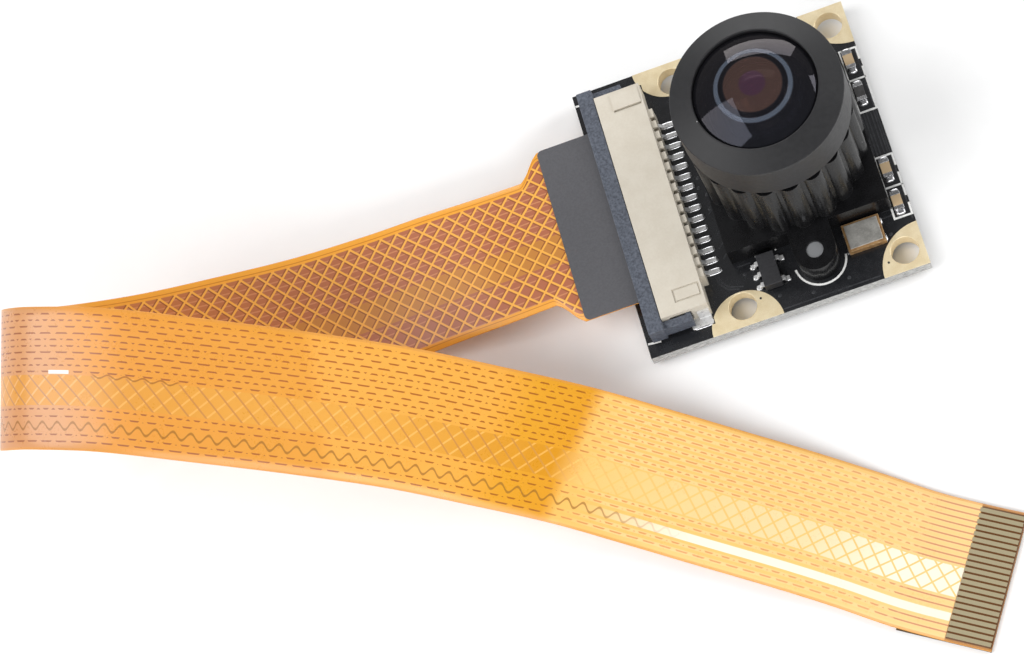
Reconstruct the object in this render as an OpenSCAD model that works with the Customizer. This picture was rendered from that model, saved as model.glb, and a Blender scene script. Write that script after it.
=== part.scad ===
// Small square camera board: a wide-angle lens in a fluted screw-in holder, a
// front-lock cable connector and the flat flex cable that plugs into it.
// Millimetres. The origin is on the floor under the middle of the board, +X runs
// from the connector to the lens, +Y along the connector and +Z out of the lens.

/* [Board] */
// Size of the board from the connector's edge to the lens's edge
board_x = 24; // [23.5:0.1:27]
// Size of the board along the connector
board_y = 25; // [24.6:0.1:28]
// Thickness of the board
board_t = 1.2; // [0.8:0.1:2]
// Diameter of the four fixing holes
fix_hole_d = 2.4; // [1.8:0.1:2.6]
// Spacing of the fixing holes across the board
fix_pitch_x = 13.9; // [13.4:0.1:14.2]
// Distance of the fixing holes from the board's long edges
fix_edge_x = 1.65; // [1.5:0.05:2]
// Distance of the fixing holes from the board's ends
fix_edge_y = 1.75; // [1.5:0.05:1.9]
// Radius of the bare metal quarter round on the outer corners
corner_land_r = 3.9; // [3.4:0.1:4.2]
// Radius of the bare metal half round at the inner holes
inner_land_r = 3.05; // [2.8:0.05:3.2]
// Thickness of the bare metal lands on the board
land_t = 0.05; // [0.03:0.01:0.1]

/* [Lens holder] */
// Distance of the lens axis from the middle of the board
lens_x = 3.55; // [3.2:0.05:3.9]
// Width of the holder's square foot
foot_w = 13.8; // [13.4:0.1:14]
// Height of the foot and of its two screw ears
foot_h = 2.5; // [2:0.1:3]
// Height of the whole holder
holder_h = 10.3; // [9.6:0.1:11]
// Radius of the collar between its flutes
collar_r = 6.55; // [6.4:0.05:6.6]
// Radius of the collar over its flutes
flute_r = 7; // [6.8:0.05:7.1]
// Number of flutes round the collar
flute_n = 20; // [16:1:24]
// Distance of the ear screws from the lens axis
ear_reach = 9.1; // [8.8:0.1:9.3]
// Radius of the ears' round ends
ear_r = 1.75; // [1.6:0.05:1.9]
// Diameter of the ear screws
screw_d = 1.4; // [1:0.1:1.6]
// Diameter of the ear screws' flat heads
screw_head_d = 2.8; // [2.2:0.1:3.2]
// Height of the ear screws' heads under the board
screw_head_h = 0.5; // [0.4:0.1:0.9]
// Radius of the screw thread between holder and lens
thread_r = 6; // [5.9:0.02:6]
// Clearance between the two threads on the radius
thread_gap = 0.07; // [0.03:0.01:0.1]

/* [Lens] */
// Radius of the lens head
head_r = 7; // [6.8:0.05:7.4]
// Height of the lens head's side wall
head_h = 4; // [3.6:0.1:4.4]
// Space between the lens head and the holder, used up by focusing down
focus_gap = 0.4; // [0.35:0.05:0.8]
// Rise of the sloping front ring from its outer to its inner edge
ring_rise = 0.8; // [0.6:0.05:1.1]
// Radius of the opening in the front ring
glass_r = 5.05; // [4.9:0.05:5.3]
// Radius of curvature of the front glass
dome_r = 9.2; // [8.6:0.1:11]
// Radius of the middle glass
middle_r = 4.1; // [3.9:0.05:4.3]
// Radius of the rear glass
rear_r = 3.5; // [3.3:0.05:3.7]
// Radius of the hole in the aperture stop
stop_hole_r = 0.9; // [0.5:0.05:1.4]

/* [Connector] */
// Number of contacts in the connector
ways = 15; // [11:1:15]
// Spacing of the connector's contacts
pitch = 1; // [0.9:0.02:1.02]
// Length of the housing over its ends
housing_l = 20.9; // [20.7:0.1:21.6]
// Depth of the housing from front to back
housing_d = 3.95; // [3.8:0.05:4.2]
// Height of the housing above the board
housing_h = 2.5; // [2.4:0.1:3]
// Distance of the housing's front from the board's edge
housing_setback = 1.95; // [1.9:0.05:2.2]
// Width of one contact
contact_w = 0.3; // [0.2:0.02:0.4]
// Height of the cable's middle above the board
entry_h = 1.3; // [1.2:0.02:1.36]
// Width of the slider's upper face
slider_w = 1.3; // [1:0.05:1.4]
// Distance that the slider pulls out
slider_travel = 1.2; // [0.8:0.1:1.3]
// Running clearance round the slider
slider_gap = 0.05; // [0.03:0.01:0.08]

/* [Cable] */
// Width of the cable
cable_w = 11.5; // [11:0.1:12]
// Thickness of the cable
cable_t = 0.14; // [0.1:0.01:0.18]
// Thickness of the stiffeners behind the cable's two ends
stiffener_t = 0.18; // [0.12:0.01:0.2]
// Length of the stiffener at the free end
free_stiffener_l = 7.7; // [6:0.1:8]
// Number of contacts at the free end
free_ways = 22; // [18:1:22]
// Spacing of the contacts at the free end
free_pitch = 0.5; // [0.44:0.01:0.5]
// Length of the contacts at the free end
free_pad_l = 3.6; // [2.5:0.1:4]
// Thickness of the cable's bare contacts
pad_t = 0.02; // [0.02:0.01:0.03]

/* [Small parts] */
// Length of a ceramic chip
chip_l = 1.6; // [1.4:0.1:1.8]
// Width of a ceramic chip
chip_w = 0.85; // [0.7:0.05:0.9]
// Height of a ceramic chip
chip_h = 0.5; // [0.4:0.05:0.7]
// Length of a chip's plated ends
chip_end = 0.32; // [0.2:0.02:0.4]
// Length of the crystal can
crystal_l = 3.2; // [2.8:0.1:3.2]
// Width of the crystal can
crystal_w = 2.5; // [2:0.1:2.6]
// Height of the crystal can
crystal_h = 0.75; // [0.6:0.05:0.9]
// Length of the regulator's body
regulator_l = 2.9; // [2.6:0.1:3]
// Width of the regulator's body
regulator_w = 1.5; // [1.3:0.1:1.6]
// Height of the regulator's body above the board
regulator_h = 1.1; // [0.9:0.1:1.3]

/* [Hidden] */
$fn = 96;
eps = 0.01;
// Flat parts that are glued or soldered lie this far apart at their sides
seat_gap = 0.05;
// Bare board left between a land and the foot of a connector tab
tab_clear = 0.1;

// Heights above the floor: the board stands on the heads of the two ear screws
board_z = screw_head_h;
top_z = board_z + board_t;

// Board: the inner holes lie fix_pitch_x from the outer ones
fix_x = board_x / 2 - fix_edge_x;
fix_y = board_y / 2 - fix_edge_y;
board_screw_d = screw_d + 0.3;

// Holder: sensor cavity, filter pocket and light hole under the threaded bore
cavity_w = foot_w - 4.2;
cavity_h = foot_h - 0.3;
filter_w = cavity_w - 1.2;
filter_t = 0.35;
light_hole_r = rear_r - 0.1;
bore_floor = foot_h + 0.7;
pilot_l = 0.15;
flute_round = 0.95;

// Sensor
sensor_x = 6;
sensor_y = 5;
sensor_t = 0.5;
window_t = 0.4;

// Lens: heights of its seats above the floor, from the head down
head_z = top_z + holder_h + focus_gap;
rim_z = head_z + head_h;
ring_edge = 0.1;
head_chamfer = 0.25;
ring_z = rim_z - ring_edge;
barrel_bottom = top_z + bore_floor + 0.55;
barrel_r = thread_r - thread_gap;
lens_gap = 0.03;
front_r = glass_r + 0.5;
front_seat = ring_z - head_h * 0.55;
front_hollow = head_h * 0.6;
middle_seat = front_seat - head_h * 1.05;
middle_t = head_h * 0.6;
seat_w = thread_r * 0.15;
spacer_bore = middle_r - seat_w;
throat_r = rear_r - seat_w;
throat_l = head_h * 0.2;
stop_t = 0.15;
rear_t = head_h * 0.425;
retainer_t = head_h / 8;
retainer_bore = throat_r - 0.2;
bulge_r = head_h * 1.35;
middle_bulge = head_h * 1.15;
rear_bulge = head_h * 1.25;
dome_edge_z = rim_z + ring_rise - 0.35;
dome_sag = dome_r - sqrt(dome_r * dome_r - glass_r * glass_r);

// Connector: front and rear faces, mouth for the cable, slots for the contacts
front_x = -board_x / 2 + housing_setback;
rear_x = front_x + housing_d;
plug_w = ways * pitch + 1;
mouth_w = plug_w + 0.3;
mouth_low = entry_h - 0.2;
mouth_high = entry_h + 0.73;
mouth_depth = 2.7;
slot_w = contact_w + 0.06;
pad_l = 1.75;
ledge_d = 0.45;
ledge_h = housing_h - 0.35;
ledge_l = ways * pitch + 0.9;
contact_tip = 2.9;
slider_l = housing_l + 1.9;
slider_low = 0.35;
slider_high = housing_h - 0.1;
tongue_l = 1.75;
tongue_low = entry_h + cable_t / 2 + stiffener_t + 0.03;
back_x = front_x - slider_gap;
arm_w = 0.7;
arm_tip_x = back_x + 2.45;
arm_low = 0.45;
arm_high = 1.9;
catch_l = 0.45;
catch_d = 0.2;
groove_d = 0.3;
tab_t = 0.15;
tab_l = 1.9;
tab_w = 0.85;

// Small parts: middles of the four chips, the crystal and the regulator
chip_x = board_x / 2 - 0.95;
chip_places = [6.95, -3.45, -6.5];
resistor_place = 3.85;
crystal_x = board_x / 2 - 4.35;
crystal_y = -board_y / 2 + 4.15;
regulator_x = -0.55;
regulator_y = -board_y / 2 + 3.75;
lead_t = 0.15;
lead_w = 0.4;
lead_pitch = 0.95;

// Cable: middle of the plugged-in stretch, and round points along its middle
plug_z = top_z + entry_h;
plug_in_x = rear_x - 1.9;
shoulder_x = front_x - 6.05;
free_z = stiffener_t + cable_t / 2;
cable_route = [
    [plug_in_x, 0, plug_z], [-12, 0, plug_z], [shoulder_x, 0, plug_z],
    [shoulder_x - 2, 0, plug_z], [-22.3, 0, 2.9], [-27, 0.2, 2.5], [-32.5, 0.3, 2.1],
    [-38.8, 0.5, 2.1], [-45.6, 1, 2.5], [-52.4, 1.4, 3.6], [-58.3, 1.5, 6.1],
    [-61.9, 0.8, 10.2], [-62.2, -0.8, 14.5], [-58.9, -2.9, 17.5], [-53, -5.4, 18],
    [-46, -8.2, 16.1], [-38.9, -10.7, 12.7], [-32.2, -13.1, 8.9], [-26.1, -15.8, 5.5],
    [-20.4, -18.7, 3.1], [-15.1, -22.1, 1.8], [-9.9, -25.7, 1.2], [-4.9, -29.2, 0.8],
    [-0.5, -32.4, 0.35], [3.2, -35.3, free_z], [6.4, -37.5, free_z], [9.7, -39.6, free_z]];
route_steps = 3;
// Direction across the cable at the plug, round the raised loop and at the free end
across_plug = [0, 1, 0];
across_loop = [0.34, 0.87, 0.35];
across_free = [0.54, 0.84, 0];
// Points of the route where the cable leaves the plug, begins and ends its loop and
// lies flat again
plug_to = 2;
loop_from = 9.5;
loop_to = 15.5;
flat_from = 24;
shoulder_ring = plug_to * route_steps;

// ---- helpers ----

// Place children at the lens axis
module at_lens() { translate([lens_x, 0, 0]) children(); }

// A block centred in X and Y that stands on z
module block(size, z = 0) { translate([-size[0] / 2, -size[1] / 2, z]) cube(size); }

// Children at both ends of the holder or connector
module both_ends() { for (side = [0, 1]) mirror([0, side, 0]) children(); }

// Centres of the four fixing holes
module at_fixings() {
    for (x = [fix_x, fix_x - fix_pitch_x]) for (y = [-fix_y, fix_y]) translate([x, y, 0]) children();
}

// Children at each of n places along Y
module row(n, spacing) { for (i = [0 : n - 1]) translate([0, (i - (n - 1) / 2) * spacing, 0]) children(); }

// ---- board ----

module board_outline() { square([board_x, board_y], center = true); }

module circuit_board() {
    color([0.1, 0.11, 0.12]) difference() {
        translate([0, 0, board_z]) linear_extrude(board_t) board_outline();
        at_fixings() translate([0, 0, board_z - 1]) cylinder(d = fix_hole_d, h = board_t + 2);
        at_lens() both_ends() translate([0, ear_reach, board_z - 1])
            cylinder(d = board_screw_d, h = board_t + 2);
    }
}

module corner_lands() {
    color([0.9, 0.84, 0.7]) translate([0, 0, top_z]) linear_extrude(land_t) difference() {
        intersection() {
            board_outline();
            union() {
                for (y = [-1, 1]) translate([board_x / 2, y * board_y / 2]) circle(corner_land_r);
                for (y = [-1, 1]) translate([fix_x - fix_pitch_x, y * board_y / 2]) circle(inner_land_r);
            }
        }
        at_fixings() circle(d = fix_hole_d);
        both_ends() translate([rear_x - tab_l - tab_clear, housing_l / 2 - tab_clear])
            square([tab_l - 0.1 + 2 * tab_clear, tab_w + 2 * tab_clear]);
    }
}

// ---- lens holder ----

module collar_outline() {
    circle(collar_r);
    for (i = [0 : flute_n - 1]) rotate(i * 360 / flute_n)
        translate([flute_r - flute_round, 0]) circle(flute_round, $fn = 32);
}

module ear_outline() {
    translate([0, ear_reach]) circle(ear_r);
    translate([-ear_r, 0]) square([2 * ear_r, ear_reach]);
}

module lens_holder() {
    color([0.09, 0.09, 0.1]) at_lens() difference() {
        translate([0, 0, top_z]) union() {
            block([foot_w, foot_w, foot_h]);
            linear_extrude(foot_h) both_ends() ear_outline();
            linear_extrude(holder_h) collar_outline();
        }
        translate([0, 0, top_z + bore_floor]) cylinder(r = thread_r, h = holder_h);
        cylinder(r = light_hole_r, h = top_z + holder_h);
        block([cavity_w, cavity_w, cavity_h + 1], top_z - 1);
        block([filter_w + 2 * seat_gap, filter_w + 2 * seat_gap, filter_t + 1], top_z + cavity_h - 1);
        both_ends() translate([0, ear_reach, top_z - 1]) cylinder(d = screw_d + 0.04, h = foot_h + 2);
    }
}

module holder_screws() {
    color([0.75, 0.76, 0.78]) at_lens() both_ends() translate([0, ear_reach, 0]) difference() {
        union() {
            cylinder(d = screw_head_d, h = screw_head_h);
            cylinder(d = screw_d, h = top_z + foot_h - pilot_l);
        }
        for (turn = [0, 90]) rotate(turn) block([screw_head_d * 0.6, 0.28, screw_head_h * 0.5 + 1], -1);
    }
}

module ir_filter() {
    color([0.55, 0.8, 0.8, 0.5]) at_lens() block([filter_w, filter_w, filter_t], top_z + cavity_h);
}

module image_sensor() {
    color([0.15, 0.16, 0.2]) at_lens() block([sensor_x, sensor_y, sensor_t], top_z);
}

module sensor_window() {
    color([0.3, 0.4, 0.45, 0.5]) at_lens()
        block([sensor_x - 0.2, sensor_y - 0.2, window_t], top_z + sensor_t);
}

// ---- lens ----

// A ring or disc about the lens axis, from its low to its high face
module lens_ring(outer, inner, low, high) {
    at_lens() difference() {
        translate([0, 0, low]) cylinder(r = outer, h = high - low);
        if (inner > 0) translate([0, 0, low - 1]) cylinder(r = inner, h = high - low + 2);
    }
}

module lens_barrel() {
    color([0.22, 0.22, 0.23]) at_lens() difference() {
        union() {
            translate([0, 0, barrel_bottom]) cylinder(r = barrel_r, h = ring_z - barrel_bottom);
            translate([0, 0, head_z]) cylinder(r1 = head_r - head_chamfer, r2 = head_r, h = head_chamfer);
            translate([0, 0, head_z + head_chamfer])
                cylinder(r = head_r, h = ring_z - head_z - head_chamfer);
        }
        translate([0, 0, front_seat]) cylinder(r = front_r + lens_gap, h = 5);
        translate([0, 0, middle_seat]) cylinder(r = middle_r + lens_gap, h = 9);
        translate([0, 0, middle_seat - throat_l - 1]) cylinder(r = throat_r, h = 9);
        translate([0, 0, barrel_bottom - 1])
            cylinder(r = rear_r + lens_gap, h = middle_seat - throat_l - barrel_bottom + 1);
    }
}

module front_ring() {
    color([0.25, 0.25, 0.26]) at_lens() rotate_extrude() polygon([
        [glass_r, ring_z], [head_r, ring_z], [head_r, rim_z],
        [glass_r + 0.15, rim_z + ring_rise], [glass_r, rim_z + ring_rise - 0.05]]);
}

// Front glass: a dome on a flat-bottomed flange, hollowed from below
module front_lens() {
    color([0.2, 0.24, 0.3, 0.6]) at_lens() difference() {
        union() {
            translate([0, 0, front_seat]) cylinder(r = front_r, h = ring_z - front_seat);
            intersection() {
                translate([0, 0, front_seat]) cylinder(r = glass_r - lens_gap, h = 8);
                translate([0, 0, dome_edge_z + dome_sag - dome_r]) sphere(dome_r);
            }
        }
        translate([0, 0, front_seat - front_hollow]) sphere(middle_r + 0.35);
    }
}

module spacer_ring() {
    color([0.12, 0.12, 0.13])
        lens_ring(middle_r, spacer_bore, middle_seat + middle_t, front_seat);
}

// Middle glass: a flat flange with a bulged top
module middle_lens() {
    color([0.3, 0.34, 0.42, 0.6]) at_lens() union() {
        translate([0, 0, middle_seat]) cylinder(r = middle_r, h = middle_t);
        intersection() {
            translate([0, 0, middle_seat + middle_t]) cylinder(r = spacer_bore - 0.1, h = 2);
            translate([0, 0, middle_seat + middle_t - middle_bulge]) sphere(bulge_r);
        }
    }
}

module aperture_stop() {
    stop_z = middle_seat - throat_l;
    color([0.05, 0.05, 0.05]) lens_ring(rear_r, stop_hole_r, stop_z - stop_t, stop_z);
}

// Rear glass: a flat disc with a bulged underside
module rear_lens() {
    rear_z = middle_seat - throat_l - stop_t - rear_t;
    color([0.35, 0.38, 0.5, 0.6]) at_lens() union() {
        translate([0, 0, rear_z]) cylinder(r = rear_r, h = rear_t);
        intersection() {
            translate([0, 0, rear_z - 1]) cylinder(r = retainer_bore - 0.1, h = 1.5);
            translate([0, 0, rear_z + rear_bulge]) sphere(bulge_r);
        }
    }
}

module rear_retainer() {
    rear_z = middle_seat - throat_l - stop_t - rear_t;
    color([0.15, 0.15, 0.15]) lens_ring(rear_r, retainer_bore, rear_z - retainer_t, rear_z);
}

// ---- connector ----

// A block from corner to corner, with heights above the board
module conn_box(x0, x1, y0, y1, z0, z1) {
    translate([x0, y0, top_z + z0]) cube([x1 - x0, y1 - y0, z1 - z0]);
}

module connector_housing() {
    half = housing_l / 2;
    color([0.9, 0.87, 0.8]) difference() {
        union() {
            conn_box(front_x, rear_x, -half, half, 0, housing_h);
            conn_box(rear_x - eps, rear_x + ledge_d, -ledge_l / 2, ledge_l / 2, 0, ledge_h);
            // Raised pad at the upper end
            conn_box(front_x + 1.35, rear_x - 0.2, half - pad_l, half - 0.25,
                housing_h - eps, housing_h + 0.12);
        }
        // Mouth that takes the cable and the slider's tongue
        conn_box(front_x - 1, front_x + mouth_depth, -mouth_w / 2, mouth_w / 2, mouth_low, mouth_high);
        // Chambers for the contacts, open at the back
        row(ways, pitch) {
            conn_box(front_x + 0.7, rear_x + 1, -slot_w / 2, slot_w / 2, -1, 0.75);
            conn_box(front_x + 0.7, rear_x - 0.7, -slot_w / 2, slot_w / 2, -1, mouth_low + eps);
            conn_box(rear_x + 0.08, rear_x + 1, -slot_w / 2, slot_w / 2, -1, housing_h + 1);
        }
        // Guide grooves for the catches of the slider's arms
        both_ends() conn_box(arm_tip_x - catch_l - slider_travel - 0.1, arm_tip_x + 0.1,
            half - groove_d, half + 1, arm_low - 0.1, arm_high + 0.1);
        // Slot beside the raised pad, and a sunk frame at the lower end
        conn_box(front_x + 1.35, rear_x - 0.2, half - pad_l - 0.15, half - pad_l,
            housing_h - 0.2, housing_h + 1);
        difference() {
            conn_box(front_x + 1.5, rear_x - 0.15, 0.9 - half, 2.1 - half, housing_h - 0.12, housing_h + 1);
            conn_box(front_x + 1.65, rear_x - 0.3, 1.05 - half, 1.95 - half, 0, housing_h + 2);
        }
    }
}

module connector_slider() {
    half = slider_l / 2;
    face_x = back_x - slider_w;
    color([0.33, 0.35, 0.4]) difference() {
        union() {
            conn_box(face_x, back_x, -half, half, slider_low, slider_high);
            conn_box(back_x - eps, back_x + tongue_l, -plug_w / 2, plug_w / 2,
                tongue_low, mouth_high - slider_gap);
            both_ends() {
                arm_y = housing_l / 2 + slider_gap;
                conn_box(back_x - eps, arm_tip_x, arm_y, arm_y + arm_w, arm_low, arm_high);
                conn_box(arm_tip_x - catch_l, arm_tip_x, arm_y - catch_d, arm_y + eps,
                    arm_low, arm_high);
            }
        }
        // Slot that the cable passes through
        conn_box(face_x - 1, back_x + 1, -mouth_w / 2, mouth_w / 2, mouth_low, tongue_low);
    }
}

// One contact in profile, from its solder tail to the sprung tip under the cable
module contact_profile() {
    tip_z = entry_h - cable_t / 2 - pad_t - 0.02;
    polygon([
        [1.65, 0], [1.65, 0.15], [0.8, 0.15], [0.4, 0.6], [-0.6, 0.6], [-1.9, tip_z - 0.25],
        [0.3 - contact_tip, tip_z], [-contact_tip, tip_z - 0.25], [0.1 - contact_tip, tip_z - 0.35],
        [0.35 - contact_tip, tip_z - 0.16], [-1.95, tip_z - 0.42], [-0.75, 0.42], [0.3, 0.42], [0.7, 0]]);
}

module connector_contacts() {
    color([0.85, 0.85, 0.86]) translate([rear_x, 0, top_z]) row(ways, pitch)
        translate([0, contact_w / 2, 0]) rotate([90, 0, 0]) linear_extrude(contact_w) contact_profile();
}

module connector_tabs() {
    half = housing_l / 2;
    color([0.8, 0.8, 0.82]) both_ends() {
        conn_box(rear_x - tab_l, rear_x - 0.1, half, half + tab_w, 0, tab_t);
        conn_box(rear_x - 1.1, rear_x - 0.1, half, half + tab_t, 0, 1.5);
    }
}

// ---- small parts ----

module chip_body() { block([chip_w - 0.04, chip_l - 2 * chip_end, chip_h - 0.04], top_z + 0.02); }

module ceramic_capacitors() {
    color([0.72, 0.6, 0.45]) for (y = chip_places) translate([chip_x, y, 0]) chip_body();
}

module chip_resistor() { color([0.2, 0.2, 0.2]) translate([chip_x, resistor_place, 0]) chip_body(); }

module chip_ends() {
    color([0.85, 0.85, 0.86]) for (y = concat(chip_places, [resistor_place])) translate([chip_x, y, 0])
        both_ends() translate([0, chip_l / 2 - chip_end / 2, 0]) block([chip_w, chip_end, chip_h], top_z);
}

module crystal_base() {
    color([0.85, 0.75, 0.5]) translate([crystal_x, crystal_y, 0])
        block([crystal_l, crystal_w, crystal_h - 0.15], top_z);
}

module crystal_lid() {
    color([0.75, 0.75, 0.76]) translate([crystal_x, crystal_y, 0])
        block([crystal_l - 0.4, crystal_w - 0.4, 0.15], top_z + crystal_h - 0.15);
}

module regulator_body() {
    color([0.12, 0.12, 0.13]) translate([regulator_x, regulator_y, 0])
        block([regulator_w, regulator_l, regulator_h - 0.1], top_z + 0.1);
}

// One bent lead, from the body's side down to the board
module regulator_lead() {
    mid = regulator_h * 0.5;
    translate([regulator_w / 2, lead_w / 2, top_z]) rotate([90, 0, 0]) linear_extrude(lead_w) polygon([
        [0, mid], [0.25, mid], [0.4, lead_t], [0.65, lead_t], [0.65, 0], [0.3, 0], [0.15, mid - lead_t],
        [0, mid - lead_t]]);
}

module regulator_leads() {
    color([0.85, 0.85, 0.86]) translate([regulator_x, regulator_y, 0]) {
        for (i = [-1, 1]) translate([0, i * lead_pitch, 0]) regulator_lead();
        mirror([1, 0, 0]) row(3, lead_pitch) regulator_lead();
    }
}

// ---- cable ----

function unit(v) = v / norm(v);
function smooth(k) = k * k * (3 - 2 * k);
function spline(a, b, c, d, t) =
    0.5 * (2 * b + (c - a) * t + (2 * a - 5 * b + 4 * c - d) * t * t + (3 * b - a - 3 * c + d) * t * t * t);
function route_end(i) = len(cable_route) - 1 < i ? 2 * cable_route[i - 1] - cable_route[i - 2]
    : i < 0 ? 2 * cable_route[0] - cable_route[1] : cable_route[i];
function route_at(u) = let (i = min(floor(u), len(cable_route) - 2), t = u - i,
        p = spline(route_end(i - 1), cable_route[i], cable_route[i + 1], route_end(i + 2), t))
    u < flat_from ? p : [p[0], p[1], free_z];
function along_at(u) = let (last = len(cable_route) - 1)
    unit(route_at(min(last, u + 0.05)) - route_at(max(0, u - 0.05)));
function blend(a, b, k) = unit(a + smooth(min(1, max(0, k))) * (b - a));
function guide_at(u) = u < loop_to
    ? blend(across_plug, across_loop, (u - plug_to) / (loop_from - plug_to))
    : blend(across_loop, across_free, (u - loop_to) / (flat_from - loop_to));
function across_at(u) = unit(guide_at(u) - (guide_at(u) * along_at(u)) * along_at(u));
function half_width(ring) = ring <= shoulder_ring ? plug_w / 2
    : ring >= shoulder_ring + route_steps ? cable_w / 2
    : plug_w / 2 + (cable_w - plug_w) / 2 * (ring - shoulder_ring) / route_steps;
// One ring of the swept cable: a thin strip with bevelled edges
function cable_ring(ring) = let (
        u = ring / route_steps, middle = route_at(u), across = across_at(u),
        up = cross(along_at(u), across), w = half_width(ring), t = cable_t / 2, bevel = cable_t / 4)
    [for (p = [[w, t - bevel], [w - bevel, t], [bevel - w, t], [-w, t - bevel],
               [-w, bevel - t], [bevel - w, -t], [w - bevel, -t], [w, bevel - t]])
        middle + p[0] * across - p[1] * up];

module flex_cable() {
    rings = (len(cable_route) - 1) * route_steps + 1;
    points = [for (r = [0 : rings - 1]) each cable_ring(r)];
    sides = [for (r = [0 : rings - 2]) for (k = [0 : 7]) let (
            a = r * 8 + k, b = r * 8 + (k + 1) % 8, c = b + 8, d = a + 8)
        each [[a, b, c], [a, c, d]]];
    caps = [[for (k = [7 : -1 : 0]) k], [for (k = [0 : 7]) (rings - 1) * 8 + k]];
    color([0.9, 0.62, 0.2]) polyhedron(points, concat(sides, caps), convexity = 8);
}

module plug_stiffener() {
    color([0.3, 0.3, 0.32]) translate([shoulder_x, -plug_w / 2, plug_z + cable_t / 2])
        cube([plug_in_x - shoulder_x, plug_w, stiffener_t]);
}

module plug_pads() {
    color([0.9, 0.8, 0.5]) translate([plug_in_x - 3.5, 0, plug_z - cable_t / 2 - pad_t])
        row(ways, pitch) translate([0, -0.35 * pitch, 0]) cube([3.4, 0.7 * pitch, pad_t]);
}

// Children at the cable's free end, with +X pointing back along the cable
module at_free_end() {
    last = len(cable_route) - 1;
    back = cable_route[last - 1] - cable_route[last];
    translate([cable_route[last][0], cable_route[last][1], 0])
        rotate(atan2(back[1], back[0])) children();
}

module free_stiffener() {
    color([0.28, 0.27, 0.26]) at_free_end() translate([0, -cable_w / 2, 0])
        cube([free_stiffener_l, cable_w, stiffener_t]);
}

module free_pads() {
    color([0.95, 0.88, 0.65]) at_free_end() translate([0.12, 0, free_z + cable_t / 2])
        row(free_ways, free_pitch) translate([0, -0.17, 0]) cube([free_pad_l, 0.34, pad_t]);
}

// ---- the whole part ----

circuit_board();
corner_lands();
lens_holder();
holder_screws();
ir_filter();
image_sensor();
sensor_window();
lens_barrel();
front_ring();
front_lens();
spacer_ring();
middle_lens();
aperture_stop();
rear_lens();
rear_retainer();
connector_housing();
connector_slider();
connector_contacts();
connector_tabs();
ceramic_capacitors();
chip_resistor();
chip_ends();
crystal_base();
crystal_lid();
regulator_body();
regulator_leads();
flex_cable();
plug_stiffener();
plug_pads();
free_stiffener();
free_pads();
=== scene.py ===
"""Small camera board with a wide-angle lens, a cable connector and a looped flat cable."""

import logging
import math
from dataclasses import dataclass
from enum import Enum
from typing import Callable, Optional, Sequence, Union

import bmesh
import bpy
from mathutils import Matrix, Vector


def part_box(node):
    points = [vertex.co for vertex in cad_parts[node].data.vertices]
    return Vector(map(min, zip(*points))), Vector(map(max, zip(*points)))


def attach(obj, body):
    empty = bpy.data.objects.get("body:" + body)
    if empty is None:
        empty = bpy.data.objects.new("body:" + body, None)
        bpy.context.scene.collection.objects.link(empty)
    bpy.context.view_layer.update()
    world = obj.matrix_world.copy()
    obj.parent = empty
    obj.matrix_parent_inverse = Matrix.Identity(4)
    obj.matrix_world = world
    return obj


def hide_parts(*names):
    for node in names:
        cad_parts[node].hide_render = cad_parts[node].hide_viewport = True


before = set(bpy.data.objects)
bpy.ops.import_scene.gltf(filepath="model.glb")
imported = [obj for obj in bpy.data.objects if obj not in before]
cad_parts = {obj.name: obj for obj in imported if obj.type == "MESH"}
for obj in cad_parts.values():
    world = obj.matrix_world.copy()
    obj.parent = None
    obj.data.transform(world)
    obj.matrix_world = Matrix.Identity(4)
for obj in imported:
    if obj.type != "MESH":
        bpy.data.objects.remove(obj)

MM = 0.001
log = logging.getLogger("camera_board")
Colour = tuple[float, float, float]
Point = tuple[float, float]
Socket = bpy.types.NodeSocket
Value = Union[float, Colour, Socket]


def srgb(red: float, green: float, blue: float) -> Colour:
    """A linear colour from screen values of 0 to 255."""
    return tuple(((c / 255 + 0.055) / 1.055) ** 2.4 if c > 10 else c / 3294.6 for c in (red, green, blue))


# ---- shader building ----


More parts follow.
